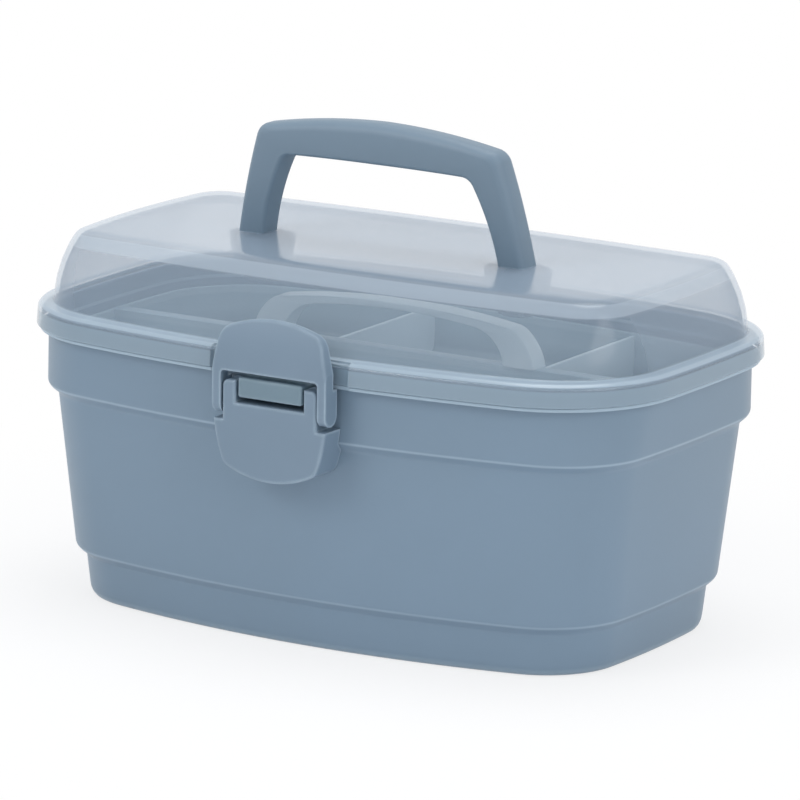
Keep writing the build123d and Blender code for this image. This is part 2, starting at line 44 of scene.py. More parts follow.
def srgb(r, g, b):
    # a colour written as 0 to 255, in Blender's linear light
    out = []
    for c in (r / 255, g / 255, b / 255):
        out.append(c / 12.92 if c <= 0.04045 else ((c + 0.055) / 1.055) ** 2.4)
    return (*out, 1.0)


# plan outlines of the case: four bowed sides joined by round corners
# A level is (half length, half width, corner radius, height, side bow, end bow) in mm.

plan = {
    "fixedX": (0, 8, 16, 22, 26, 29, 31.2, 31.5, 31.8, 32.4, 34, 38, 44, 52, 60),  # closer beside the latch
    "sideSteps": 8,
    "cornerSteps": 22,
    "endSteps": 10,
    "leastCorner": 2.0,
    "softSteps": 5,
    "softShare": 0.49,  # a rounding stays within its half of a wall
    "leastSpan": 0.01,
    "capScales": (0.9, 0.7, 0.45, 0.2),  # shrinking rings that close a shell's ends
}


def bowRadius(half, bow):
    # radius of the arc that stands out by bow over a chord of twice half
    return (half * half + bow * bow) / (2 * bow)


def circleMeet(c1, r1, c2, r2):
    # the two points where two circles cross
    d = (c2 - c1).length
    a = (r1 * r1 - r2 * r2 + d * d) / (2 * d)
    h = math.sqrt(max(r1 * r1 - a * a, 0.0))
    u = (c2 - c1) / d
    foot = c1 + u * a
    side = Vector((-u.y, u.x)) * h
    return foot + side, foot - side


def quarterPlan(level):
    # from the middle of the front side to the middle of the right end
    a, b, corner, _, sideBow, endBow = level
    halfSide = a - endBow
    halfEnd = b - sideBow
    sideRadius = bowRadius(halfSide, sideBow)
    endRadius = bowRadius(halfEnd, endBow)
    sideCentre = Vector((0, -b + sideRadius))
    endCentre = Vector((a - endRadius, 0))
    options = circleMeet(sideCentre, sideRadius - corner, endCentre, endRadius - corner)
    centre = min(options, key=lambda p: (p - Vector((halfSide, -halfEnd))).length)
    sideMeet = sideCentre + (centre - sideCentre).normalized() * sideRadius
    endMeet = endCentre + (centre - endCentre).normalized() * endRadius
    points = []
    xs = list(plan["fixedX"])
    last = xs[-1]
    sideSteps = plan["sideSteps"]
    xs += [last + (sideMeet.x - last) * i / sideSteps for i in range(1, sideSteps + 1)]
    for x in xs:
        points.append(Vector((x, sideCentre.y - math.sqrt(sideRadius * sideRadius - x * x))))
    start = math.atan2(sideMeet.y - centre.y, sideMeet.x - centre.x)
    stop = math.atan2(endMeet.y - centre.y, endMeet.x - centre.x)
    for i in range(1, plan["cornerSteps"] + 1):
        angle = start + (stop - start) * i / plan["cornerSteps"]
        points.append(centre + Vector((math.cos(angle), math.sin(angle))) * corner)
    for i in range(1, plan["endSteps"] + 1):
        y = endMeet.y * (1 - i / plan["endSteps"])
        points.append(Vector((endCentre.x + math.sqrt(endRadius * endRadius - y * y), y)))
    return points


def fullPlan(level):
    quarter = quarterPlan(level)
    ring = [(p.x, p.y) for p in quarter]
    ring += [(p.x, -p.y) for p in reversed(quarter[:-1])]
    ring += [(-p.x, -p.y) for p in quarter[1:]]
    ring += [(-p.x, p.y) for p in reversed(quarter[1:-1])]
    return ring


def inset(level, amount, height=None):
    # a level moved inward, at its own height or another
    a, b, corner, z, sideBow, endBow = level
    corner = max(corner - amount, plan["leastCorner"])
    return (a - amount, b - amount, corner, z if height is None else height, sideBow, endBow)


def mix(first, second, share):
    return tuple(p + (q - p) * share for p, q in zip(first, second))


def atHeight(low, high, z):
    return mix(low, high, (z - low[3]) / (high[3] - low[3]))


def span(first, second):
    # distance between two levels, measured across the wall
    return math.hypot(second[1] - first[1], second[3] - first[3])


def softened(path):
    # path is a list of (level, rounding in mm); each rounded level becomes a short curve
    out = []
    for i, (level, rounding) in enumerate(path):
        if rounding <= 0 or i == 0 or i == len(path) - 1:
            out.append(level)
            continue
        ends = []
        for near in (path[i - 1][0], path[i + 1][0]):
            share = rounding / max(span(level, near), plan["leastSpan"])
            ends.append(mix(level, near, min(share, plan["softShare"])))
        back, ahead = ends
        for k in range(plan["softSteps"] + 1):
            t = k / plan["softSteps"]
            out.append(mix(mix(back, level, t), mix(level, ahead, t), t))
    return out


# mesh tools

def meshObject(name, bm):
    mesh = bpy.data.meshes.new(name)
    bm.normal_update()
    bm.to_mesh(mesh)
    bm.free()
    mesh.shade_smooth()
    obj = bpy.data.objects.new(name, mesh)
    bpy.context.scene.collection.objects.link(obj)
    return obj


def ringBand(bm, low, high, flip=False):
    # faces between two rings of points
    count = len(low)
    for i in range(count):
        j = (i + 1) % count
        face = (low[i], low[j], high[j], high[i])
        bm.faces.new(face[::-1] if flip else face)


def shell(name, levels, edit=None):
    # rings from the first level to the last, closed by shrinking rings at both ends
    bm = bmesh.new()
    rings = []
    for level in levels:
        rings.append([bm.verts.new((x * mm, y * mm, level[3] * mm)) for x, y in fullPlan(level)])
    for low, high in zip(rings, rings[1:]):
        ringBand(bm, low, high)
    for ring, flip in ((rings[0], True), (rings[-1], False)):
        previous = ring
        for scale in plan["capScales"]:
            inner = [bm.verts.new((v.co.x * scale, v.co.y * scale, v.co.z)) for v in ring]
            ringBand(bm, previous, inner, flip)
            previous = inner
        centre = bm.verts.new((0, 0, ring[0].co.z))
        for i in range(len(ring)):
            face = (previous[i], previous[(i + 1) % len(ring)], centre)
            bm.faces.new(face[::-1] if flip else face)
    if edit:
        for v in bm.verts:
            edit(v)
    bmesh.ops.recalc_face_normals(bm, faces=bm.faces)
    return meshObject(name, bm)


def block(name, low, high, bevel=0.0, segments=3):
    bm = bmesh.new()
    bmesh.ops.create_cube(bm, size=1.0)
    size = Vector(high) - Vector(low)
    middle = (Vector(high) + Vector(low)) / 2
    for v in bm.verts:
        v.co = Vector([c * s + m for c, s, m in zip(v.co, size, middle)]) * mm
    if bevel > 0:
        bmesh.ops.bevel(
            bm, geom=bm.edges, offset=bevel * mm, segments=segments, profile=0.5, affect="EDGES"
        )
    return meshObject(name, bm)


def prism(name, points, axis, start, stop, bevel, segments=3):
    # a flat outline, drawn out along X or Y, with rounded edges at both ends
    def placed(depth):
        return [(depth, u, v) if axis == "X" else (u, depth, v) for u, v in points]

    bm = bmesh.new()
    first = [bm.verts.new(Vector(p) * mm) for p in placed(start)]
    second = [bm.verts.new(Vector(p) * mm) for p in placed(stop)]
    caps = [bm.faces.new(first), bm.faces.new(second[::-1])]
    count = len(points)
    for i in range(count):
        j = (i + 1) % count
        bm.faces.new((first[j], first[i], second[i], second[j]))
    bmesh.ops.recalc_face_normals(bm, faces=bm.faces)
    bmesh.ops.bevel(
        bm,
        geom=[e for cap in caps for e in cap.edges],
        offset=bevel * mm,
        segments=segments,
        profile=0.5,
        affect="EDGES",
        clamp_overlap=True,
    )
    return meshObject(name, bm)


def joined(name, pieces):
    bm = bmesh.new()
    for piece in pieces:
        bm.from_mesh(piece.data)
        bpy.data.objects.remove(piece)
    return meshObject(name, bm)


def cut(obj, tools):
    for tool in tools:
        modifier = obj.modifiers.new("cut", "BOOLEAN")
        modifier.object = tool
        modifier.operation = "DIFFERENCE"
        modifier.solver = "EXACT"
        deps = bpy.context.evaluated_depsgraph_get()
        mesh = bpy.data.meshes.new_from_object(obj.evaluated_get(deps))
        obj.modifiers.clear()
        obj.data = mesh
        bpy.data.objects.remove(tool)


def creased(obj, degrees):
    # edges that turn more than this stay sharp
    bm = bmesh.new()
    bm.from_mesh(obj.data)
    limit = math.radians(degrees)
    for edge in bm.edges:
        if len(edge.link_faces) == 2:
            edge.smooth = edge.calc_face_angle(0) < limit
    bm.to_mesh(obj.data)
    bm.free()
    return obj


# shader groups

def groupTree(name, inputs, outputs):
    tree = bpy.data.node_groups.new(name, "ShaderNodeTree")
    for label, value in inputs.items():
        socket = tree.interface.new_socket(name=label, in_out="INPUT", socket_type="NodeSocketFloat")
        socket.default_value = value
    for label in outputs:
        tree.interface.new_socket(name=label, in_out="OUTPUT", socket_type="NodeSocketFloat")
    return tree, tree.nodes.new("NodeGroupInput"), tree.nodes.new("NodeGroupOutput")


def mathNode(tree, operation, first, second, clamp=False):
    node = tree.nodes.new("ShaderNodeMath")
    node.operation = operation
    node.use_clamp = clamp
    for slot, value in enumerate((first, second)):
        if isinstance(value, (int, float)):
            node.inputs[slot].default_value = value
        else:
            tree.links.new(value, node.inputs[slot])
    return node.outputs[0]


def noise(tree, coords, scale, detail):
    # scale is a number or another node's output
    node = tree.nodes.new("ShaderNodeTexNoise")
    node.inputs["Detail"].default_value = detail
    tree.links.new(coords.outputs["Object"], node.inputs["Vector"])
    if isinstance(scale, (int, float)):
        node.inputs["Scale"].default_value = scale
    else:
        tree.links.new(scale, node.inputs["Scale"])
    return node.outputs["Fac"]


moulding = {
    "grainDetail": 3.0,
    "flowDetail": 2.0,
    "flowHeight": 2.0,
    "grainShare": 0.5,
    "noiseMiddle": 0.5,
}
# settings of the edge mask, which paints both wear and highlights on rounded edges
edgeWearAndHighlightSettings = {"samples": 4, "gain": 9.0, "patchScale": 120.0, "patchDetail": 2.0}


def mouldedSurface():
    # moulded plastic: a fine grain on a slow flow, for its height, its polish and its tone
    tree, entry, exitNode = groupTree(
        "mouldedSurface",
        {"Grain Scale": 900.0, "Flow Scale": 14.0, "Base Roughness": 0.4, "Roughness Spread": 0.08},
        ("Height", "Roughness", "Tone"),
    )
    coords = tree.nodes.new("ShaderNodeTexCoord")
    fine = noise(tree, coords, entry.outputs["Grain Scale"], moulding["grainDetail"])
    flow = noise(tree, coords, entry.outputs["Flow Scale"], moulding["flowDetail"])
    swell = mathNode(tree, "MULTIPLY", flow, moulding["flowHeight"])
    tree.links.new(mathNode(tree, "ADD", fine, swell), exitNode.inputs["Height"])
    drift = mathNode(tree, "SUBTRACT", flow, moulding["noiseMiddle"])
    grain = mathNode(tree, "SUBTRACT", fine, moulding["noiseMiddle"])
    both = mathNode(tree, "ADD", drift, mathNode(tree, "MULTIPLY", grain, moulding["grainShare"]))
    spread = mathNode(tree, "MULTIPLY", both, entry.outputs["Roughness Spread"])
    polish = mathNode(tree, "ADD", entry.outputs["Base Roughness"], spread, True)
    tree.links.new(polish, exitNode.inputs["Roughness"])
    tree.links.new(mathNode(tree, "ADD", drift, moulding["noiseMiddle"], True), exitNode.inputs["Tone"])
    return tree


def wearAndHighlightEdges():
    # mask of edges lightened partly by wear from handling and partly as a painted highlight: where a bevelled
    # normal turns away from the real one
    tree, entry, exitNode = groupTree("wearAndHighlightEdges", {"Width": 0.0008, "Amount": 0.5}, ("Mask",))
    bevel = tree.nodes.new("ShaderNodeBevel")
    bevel.samples = edgeWearAndHighlightSettings["samples"]
    tree.links.new(entry.outputs["Width"], bevel.inputs["Radius"])
    geometry = tree.nodes.new("ShaderNodeNewGeometry")
    dot = tree.nodes.new("ShaderNodeVectorMath")
    dot.operation = "DOT_PRODUCT"
    tree.links.new(bevel.outputs["Normal"], dot.inputs[0])
    tree.links.new(geometry.outputs["Normal"], dot.inputs[1])
    turned = mathNode(tree, "SUBTRACT", 1.0, dot.outputs["Value"], True)
    patch = noise(tree, tree.nodes.new("ShaderNodeTexCoord"), edgeWearAndHighlightSettings["patchScale"], edgeWearAndHighlightSettings["patchDetail"])
    wornAndHighlit = mathNode(tree, "MULTIPLY", mathNode(tree, "MULTIPLY", turned, edgeWearAndHighlightSettings["gain"], True), patch)
    tree.links.new(mathNode(tree, "MULTIPLY", wornAndHighlit, entry.outputs["Amount"], True), exitNode.inputs["Mask"])
    return tree


def heightBand():
    # soft mask of a level strip round a piece, by height in metres
    tree, entry, exitNode = groupTree("heightBand", {"Low": 0.0, "High": 0.01, "Soft": 0.0006}, ("Mask",))
    coords = tree.nodes.new("ShaderNodeTexCoord")
    split = tree.nodes.new("ShaderNodeSeparateXYZ")
    tree.links.new(coords.outputs["Object"], split.inputs[0])
    above = mathNode(tree, "SUBTRACT", split.outputs["Z"], entry.outputs["Low"])
    below = mathNode(tree, "SUBTRACT", entry.outputs["High"], split.outputs["Z"])
    rise = mathNode(tree, "DIVIDE", above, entry.outputs["Soft"], True)
    fall = mathNode(tree, "DIVIDE", below, entry.outputs["Soft"], True)
    tree.links.new(mathNode(tree, "MULTIPLY", rise, fall), exitNode.inputs["Mask"])
    return tree


surfaceGroup = mouldedSurface()
edgeWearAndHighlightGroup = wearAndHighlightEdges()
bandGroup = heightBand()


# plastics

def groupNode(tree, group, values):
    node = tree.nodes.new("ShaderNodeGroup")
    node.node_tree = group
    for label, value in values.items():
        node.inputs[label].default_value = value
    return node


def colourMix(tree, factor, first, second):
    # a colour is a tuple of 0 to 255 or another node's output
    node = tree.nodes.new("ShaderNodeMix")
    node.data_type = "RGBA"
    tree.links.new(factor, node.inputs["Factor"])
    for slot, colour in ((6, first), (7, second)):  # the mix node's colour sockets, and 2 is their output
        if isinstance(colour, tuple):
            node.inputs[slot].default_value = srgb(*colour)
        else:
            tree.links.new(colour, node.inputs[slot])
    return node.outputs[2]


def seeThrough(tree, bump, masks, look):
    # a wall that is clearer when seen straight on or from inside, and milkier along the surface
    facing = tree.nodes.new("ShaderNodeLayerWeight")
    facing.inputs["Blend"].default_value = look["clearBlend"]
    tree.links.new(bump.outputs["Normal"], facing.inputs["Normal"])
    cover = tree.nodes.new("ShaderNodeMapRange")
    cover.inputs["To Min"].default_value = look["clearFacing"]
    cover.inputs["To Max"].default_value = look["clearGrazing"]
    steep = mathNode(tree, "POWER", facing.outputs["Facing"], look["clearCurve"])
    tree.links.new(steep, cover.inputs["Value"])
    filled = cover.outputs["Result"]
    for mask, band in zip(masks, look["bands"]):
        filled = mathNode(tree, "MAXIMUM", filled, mathNode(tree, "MULTIPLY", mask, band["cover"]))
    geometry = tree.nodes.new("ShaderNodeNewGeometry")
    inside = mathNode(tree, "MULTIPLY", geometry.outputs["Backfacing"], look["insideClear"])
    kept = mathNode(tree, "SUBTRACT", 1.0, inside)
    return mathNode(tree, "MULTIPLY", filled, kept)


def plastic(name, look):
    material = bpy.data.materials.new(name)
    material.use_nodes = True
    tree = material.node_tree
    shader = tree.nodes["Principled BSDF"]
    surfaceValues = {
        "Grain Scale": look["grainScale"],
        "Flow Scale": look["flowScale"],
        "Base Roughness": look["roughness"],
        "Roughness Spread": look["roughnessSpread"],
    }
    surface = groupNode(tree, surfaceGroup, surfaceValues)
    edges = groupNode(tree, edgeWearAndHighlightGroup, {"Width": look["edgeWidth"], "Amount": look["edgeWearAndHighlightAmount"]})
    colour = colourMix(tree, surface.outputs["Tone"], look["colourLow"], look["colourHigh"])
    masks = []
    for band in look["bands"]:
        # each band recolours a level strip, mostly with painted highlights and painted shade
        heights = {"Low": band["low"] * mm, "High": band["high"] * mm, "Soft": band["soft"] * mm}
        mask = groupNode(tree, bandGroup, heights).outputs["Mask"]
        masks.append(mask)
        colour = colourMix(tree, mathNode(tree, "MULTIPLY", mask, band["amount"]), colour, band["colour"])
    # edges lightened: part wear, part painted highlight
    wornAndHighlit = colourMix(tree, edges.outputs["Mask"], colour, look["edgeWearAndHighlightColour"])
    tree.links.new(wornAndHighlit, shader.inputs["Base Color"])
    tree.links.new(surface.outputs["Roughness"], shader.inputs["Roughness"])
    bump = tree.nodes.new("ShaderNodeBump")
    bump.inputs["Strength"].default_value = look["bumpStrength"]
    bump.inputs["Distance"].default_value = look["bumpDistance"]
    tree.links.new(surface.outputs["Height"], bump.inputs["Height"])
    tree.links.new(bump.outputs["Normal"], shader.inputs["Normal"])
    shader.inputs["IOR"].default_value = look["ior"]
    shader.inputs["Specular IOR Level"].default_value = look["gloss"]
    if "clearFacing" in look:
        tree.links.new(seeThrough(tree, bump, masks, look), shader.inputs["Alpha"])
    return material


# looks: colours are 0 to 255, and bands are heights in mm

tubLook = {
    "colourLow": (116, 136, 152),
    "colourHigh": (125, 147, 167),
    # pale edge colour: wear and a painted highlight along the rounded edges
    "edgeWearAndHighlightColour": (170, 187, 203),
    "roughness": 0.42,
    "roughnessSpread": 0.10,
    "grainScale": 1400.0,
    "flowScale": 9.0,
    "bumpStrength": 0.12,
    "bumpDistance": 0.0002,
    "edgeWidth": 0.0009,
    "edgeWearAndHighlightAmount": 1.0,
    "ior": 1.49,
    "gloss": 0.5,
    "bands": (),
}
paintedStepHighlights = (  # painted highlights: pale lines along the edges of the upper band, the foot, the bead and the ground
    {"low": 88.1, "high": 89.7, "soft": 0.6, "colour": (168, 188, 203), "amount": 0.5},
    {"low": 20.5, "high": 22.1, "soft": 0.6, "colour": (164, 184, 200), "amount": 0.45},
    {"low": 111.3, "high": 113.2, "soft": 0.5, "colour": (180, 200, 213), "amount": 0.65},
    {"low": -1.0, "high": 3.4, "soft": 1.4, "colour": (158, 178, 192), "amount": 0.4},
)
handleLook = dict(
    tubLook,
    colourLow=(112, 132, 148),
    colourHigh=(120, 140, 157),
    roughness=0.46,
    flowScale=22.0,
)
latchLook = dict(
    tubLook,
    colourLow=(115, 135, 152),
    colourHigh=(123, 142, 160),
    # paler, wider edge colour: a painted highlight along the lever's rounded edges, besides wear
    edgeWearAndHighlightColour=(184, 202, 215),
    edgeWidth=0.0018,
    roughness=0.45,
    flowScale=26.0,
)
tongueLook = dict(latchLook, colourLow=(108, 130, 143), colourHigh=(115, 137, 150))
trayLook = dict(tubLook, colourLow=(154, 179, 189), colourHigh=(162, 187, 198), roughness=0.40)
trayPaintedShadeAndRimHighlight = (  # painted shade low down in the tray's depths, and a painted highlight at the rim
    {"low": 60.0, "high": 99.0, "soft": 9.0, "colour": (106, 130, 141), "amount": 0.6},
    {"low": 105.0, "high": 109.2, "soft": 1.0, "colour": (186, 206, 216), "amount": 0.4},
)
archLook = dict(trayLook, colourLow=(226, 240, 245), colourHigh=(231, 244, 248))
# the dividers use the tray's plastic lightened, which paints the light on their lit side faces
dividerPaintedLitLook = dict(trayLook, colourLow=(212, 229, 236), colourHigh=(218, 234, 241))
pinLook = dict(tubLook, colourLow=(120, 122, 126), colourHigh=(132, 134, 138), roughness=0.35)
lidLook = {
    "colourLow": (161, 179, 197),
    "colourHigh": (168, 186, 204),
    "edgeWearAndHighlightColour": (220, 230, 238),
    "roughness": 0.16,
    "roughnessSpread": 0.06,
    "grainScale": 700.0,
    "flowScale": 7.0,
    "bumpStrength": 0.05,
    "bumpDistance": 0.0002,
    "edgeWidth": 0.0009,
    "edgeWearAndHighlightAmount": 0.25,
    "ior": 1.49,
    "gloss": 0.8,
    "clearBlend": 0.35,
    "clearFacing": 0.37,
    "clearGrazing": 0.94,
    "clearCurve": 1.6,
    "insideClear": 0.85,
    "bands": (  # the skirt is darker and denser; the ledge and the edge of the panel are denser and carry painted highlights
        {"low": 112.0, "high": 121.0, "soft": 1.5, "colour": (134, 155, 170), "amount": 0.9, "cover": 0.88},
        {"low": 120.6, "high": 123.6, "soft": 0.9, "colour": (168, 187, 202), "amount": 0.75, "cover": 0.82},
        {"low": 144.5, "high": 151.2, "soft": 1.2, "colour": (190, 203, 216), "amount": 0.6, "cover": 0.62},
    ),
}
thickLidLook = dict(lidLook, clearFacing=0.6, clearGrazing=0.85, bands=())
socketLook = dict(
    lidLook,
    colourLow=(142, 158, 172),
    colourHigh=(149, 165, 180),
    clearFacing=0.75,
    clearGrazing=0.9,
    bands=(),
)
materials = {
    "tub": plastic("blueGreyTubPlastic", dict(tubLook, bands=paintedStepHighlights)),
    "lug": plastic("blueGreyLugPlastic", tubLook),
    "handle": plastic("blueGreyHandlePlastic", handleLook),
    "latch": plastic("blueGreyLatchPlastic", latchLook),
    "tongue": plastic("blueGreyTonguePlastic", tongueLook),
    "tray": plastic("blueGreyTrayPlastic", dict(trayLook, bands=trayPaintedShadeAndRimHighlight)),
    "arch": plastic("paleArchPlastic", archLook),
    "divider": plastic("trayPlasticPaintedLitDivider", dividerPaintedLitLook),
    "lid": plastic("smokeLidPlastic", lidLook),
    "lidSolid": plastic("smokeLidPlasticThick", thickLidLook),
    "socket": plastic("smokeSocketPlastic", socketLook),
    "pin": plastic("hingePinSteel", pinLook),
}
print("stage: materials made")


def coat(obj, kind):
    obj.data.materials.clear()
    obj.data.materials.append(materials[kind])


def dress(obj, kind, body, stands=None):
    # stands names the node that the piece replaces
    coat(obj, kind)
    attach(obj, body)
    if stands:
        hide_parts(stands)


# tub

tub = {
    "rim": (140.2, 87.0, 49.0, 119.5, 16.4, 3.3),
    "bandLow": (137.6, 86.0, 38.0, 89.0, 16.4, 3.3),
    "wallHigh": (134.1, 82.5, 36.25, 85.5, 16.4, 3.3),
    "wallLow": (127.5, 78.8, 36.5, 21.5, 16.4, 3.3),
    "footHigh": (124.0, 75.3, 35.0, 18.0, 16.4, 3.3),
    "footLow": (122.4, 73.7, 35.0, 0.0, 16.4, 3.3),
    "wall": 2.0,
    "floor": 2.2,
    "undersideRings": (12, 7),
    "floorRing": 8,
    "beadReach": 3.4,
    "beadLow": 111.5,
    "beadTop": 113.0,
    "footRound": 5.0,
    "stepRounds": (0.9, 1.6, 1.2, 1.6),  # from the foot up to the band
    "beadRounds": (0.3, 0.5),  # at its root and at its edge
    "rimRound": 0.7,
    "insideRound": 1.0,
    "floorRound": 3.0,
}
notch = {"half": 31.51, "front": -86, "low": 111, "high": 113.4, "y": -88.6}  # where the bead is cut back
ledgeRise = tub["wall"] * (math.sqrt(2) - 1)  # keeps the sloped steps as thick as the wall


def rimAt(z):
    return atHeight(tub["bandLow"], tub["rim"], z)


def raised(level, amount):
    return inset(level, tub["wall"], level[3] + amount)


tubPath = [(inset(tub["footLow"], ring, 0.0), 0) for ring in tub["undersideRings"]]
tubPath.append((tub["footLow"], tub["footRound"]))
for levelName, rounding in zip(("footHigh", "wallLow", "wallHigh", "bandLow"), tub["stepRounds"]):
    tubPath.append((tub[levelName], rounding))
beadRoot, beadEdge = tub["beadRounds"]
tubPath += [
    (rimAt(tub["beadLow"]), beadRoot),
    (inset(tub["rim"], -tub["beadReach"], tub["beadLow"]), beadEdge),
    (inset(tub["rim"], -tub["beadReach"], tub["beadTop"]), beadEdge),
    (rimAt(tub["beadTop"]), beadRoot),
    (tub["rim"], tub["rimRound"]),
    (inset(tub["rim"], tub["wall"]), tub["rimRound"]),
]
for levelName in ("bandLow", "wallHigh", "wallLow", "footHigh"):
    tubPath.append((raised(tub[levelName], ledgeRise), tub["insideRound"]))
tubPath += [
    (inset(tub["footLow"], tub["wall"], tub["floor"]), tub["floorRound"]),
    (inset(tub["footLow"], tub["wall"] + tub["floorRing"], tub["floor"]), 0),
]


def notchBead(v):
    # the bead is cut back behind the latch lever
    inHeight = notch["low"] * mm < v.co.z < notch["high"] * mm
    if abs(v.co.x) < notch["half"] * mm and v.co.y < notch["front"] * mm and inHeight:
        v.co.y = max(v.co.y, notch["y"] * mm)


tubShell = shell("tubShell", softened(tubPath), notchBead)
dress(tubShell, "tub", "tub", "tub")
print("stage: tub")

# lid

lid = {
    "skirtLow": (144.9, 91.7, 53.7, 113.3, 16.4, 3.3),
    "skirtHigh": (144.4, 91.2, 53.2, 120.9, 16.4, 3.3),
    "ledgeEdge": (142.8, 89.6, 51.6, 122.5, 16.4, 3.3),
    "domeLow": (138.1, 84.9, 46.0, 122.7, 16.4, 3.3),
    "panel": (127.6, 57.2, 13.0, 151.6, 3.4, 4.0),
    "wall": 1.6,
    "bulge": (2.4, 1.2),
    "domeShares": (0.78, 0.55, 0.32, 0.14),
    "panelRing": 10,
    "panelRounds": (4.6, 3.2),  # outside and inside
    "domeRound": 1.2,
    "ledgeRounds": (1.0, 0.8),  # outside and inside
    "skirtRounds": (0.8, 0.5),  # at its top and at its lower edge
}
recess = {  # the flat in the skirt behind the latch lever
    "half": 31.51,
    "front": -87,
    "top": 122.71,
    "split": -89.95,
    "outerY": -88.9,
    "innerY": -87.5,
}


def lidInner(level, drop=lid["wall"]):
    return inset(level, lid["wall"], level[3] - drop)


def domeAt(share, drop=0.0):
    # the dome swells a little between the ledge and the panel
    a, b, corner, z, sideBow, endBow = mix(lid["domeLow"], lid["panel"], share)
    swell = 4 * share * (1 - share)
    level = (a + lid["bulge"][0] * swell, b + lid["bulge"][1] * swell, corner, z, sideBow, endBow)
    return inset(level, drop, z - drop) if drop else level


panelOutside, panelInside = lid["panelRounds"]
ledgeOutside, ledgeInside = lid["ledgeRounds"]
skirtTop, skirtEdge = lid["skirtRounds"]
lidPath = [
    (inset(lid["panel"], lid["panelRing"]), 0),
    (lid["panel"], panelOutside),
    *[(domeAt(share), 0) for share in lid["domeShares"]],
    (lid["domeLow"], lid["domeRound"]),
    (lid["ledgeEdge"], ledgeOutside),
    (lid["skirtHigh"], skirtTop),
    (lid["skirtLow"], skirtEdge),
    (lidInner(lid["skirtLow"], 0), skirtEdge),
    (lidInner(lid["skirtHigh"]), skirtTop),
    (lidInner(lid["ledgeEdge"]), ledgeInside),
    (lidInner(lid["domeLow"]), lid["domeRound"]),
    *[(domeAt(share, lid["wall"]), 0) for share in reversed(lid["domeShares"])],
    (lidInner(lid["panel"]), panelInside),
    (inset(lid["panel"], lid["panelRing"], lid["panel"][3] - lid["wall"]), 0),
]


def recessSkirt(v):
    # the skirt steps back behind the latch lever, on both its faces
    inPlan = abs(v.co.x) < recess["half"] * mm and v.co.y < recess["front"] * mm
    if inPlan and v.co.z < recess["top"] * mm:
        outside = v.co.y < recess["split"] * mm
        v.co.y = recess["outerY" if outside else "innerY"] * mm


lidShell = shell("lidShell", softened(lidPath), recessSkirt)
dress(lidShell, "lid", "lid", "lid")
print("stage: lid")

# hinge eyes: lugs on the tub, knuckles on the lid
# A root is the two points (y, z) where the eye leaves the wall, and an arc runs between its two angles.

hinge = {
    "y": 95.5,
    "z": 113.0,
    "radius": 4.5,
    "spacing": 90.0,
    "knuckle": 12.0,
    "gap": 0.4,
    "lug": 4.0,
    "lugRoot": ((85.5, 111.4), (85.5, 95.5)),
    "lugArc": (199.5, -90),
    "knuckleRoot": ((88.6, 113.35), (88.6, 117.5)),
    "knuckleArc": (176, 450),
    "arcSteps": 22,
    "edge": 0.5,
    "crease": 30,
}
latchTongue = {  # the tub's tongue in the window of the latch
    "low": (-14.8, -97.2, 104.4),
    "high": (14.8, -86.0, 112.6),
    "edge": 1.1,
    "edgeSteps": 4,
    "crease": 40,
}


def eyeOutline(root, arc):
    start, stop = arc
    points = [root[0]]
    for i in range(hinge["arcSteps"] + 1):
        t = math.radians(start + (stop - start) * i / hinge["arcSteps"])
        y = hinge["y"] + hinge["radius"] * math.cos(t)
        z = hinge["z"] + hinge["radius"] * math.sin(t)
        points.append((y, z))
    return points + [root[1]]


lugOutline = eyeOutline(hinge["lugRoot"], hinge["lugArc"])
knuckleOutline = eyeOutline(hinge["knuckleRoot"], hinge["knuckleArc"])
lugs = []
knuckles = []
for centre in (-hinge["spacing"] / 2, hinge["spacing"] / 2):
    half = hinge["knuckle"] / 2
    for start in (centre - half - hinge["gap"] - hinge["lug"], centre + half + hinge["gap"]):
        lugs.append(prism("lug", lugOutline, "X", start, start + hinge["lug"], hinge["edge"]))
    knuckles.append(prism("knuckle", knuckleOutline, "X", centre - half, centre + half, hinge["edge"]))
dress(creased(joined("tubHingeLugs", lugs), hinge["crease"]), "lug", "tub")
dress(creased(joined("lidKnuckles", knuckles), hinge["crease"]), "lidSolid", "lid")
tongue = block(
    "latchTongue", latchTongue["low"], latchTongue["high"], latchTongue["edge"], latchTongue["edgeSteps"]
)
dress(creased(tongue, latchTongue["crease"]), "tongue", "tub")
print("stage: hinges")


# arches: the carry handle and the tray's handle
# Each has an outer and an inner line, drawn as a top arc and a leg arc from the middle to the right foot.

cornerSample = 6  # mm to each side of a corner, to measure its turn


def arcThrough(first, middle, last, steps):
    ax, ay = first
    bx, by = middle
    cx, cy = last
    aa = ax * ax + ay * ay
    bb = bx * bx + by * by
    cc = cx * cx + cy * cy
    d = 2 * (ax * (by - cy) + bx * (cy - ay) + cx * (ay - by))
    ux = (aa * (by - cy) + bb * (cy - ay) + cc * (ay - by)) / d
    uy = (aa * (cx - bx) + bb * (ax - cx) + cc * (bx - ax)) / d
    radius = math.hypot(ax - ux, ay - uy)
    start = math.atan2(ay - uy, ax - ux)
    sweep = math.atan2(cy - uy, cx - ux) - start
    sweep = (sweep + math.pi) % (2 * math.pi) - math.pi
    angles = [start + sweep * i / steps for i in range(steps + 1)]
    return [(ux + radius * math.cos(t), uy + radius * math.sin(t)) for t in angles]


def lineLength(points):
    return sum(math.dist(p, q) for p, q in zip(points, points[1:]))


def along(points, share):
    # the point at a share of a line's length
    target = share * lineLength(points)
    for p, q in zip(points, points[1:]):
        length = math.dist(p, q)
        if target <= length:
            t = target / length
            return (p[0] + (q[0] - p[0]) * t, p[1] + (q[1] - p[1]) * t)
        target -= length
    return points[-1]


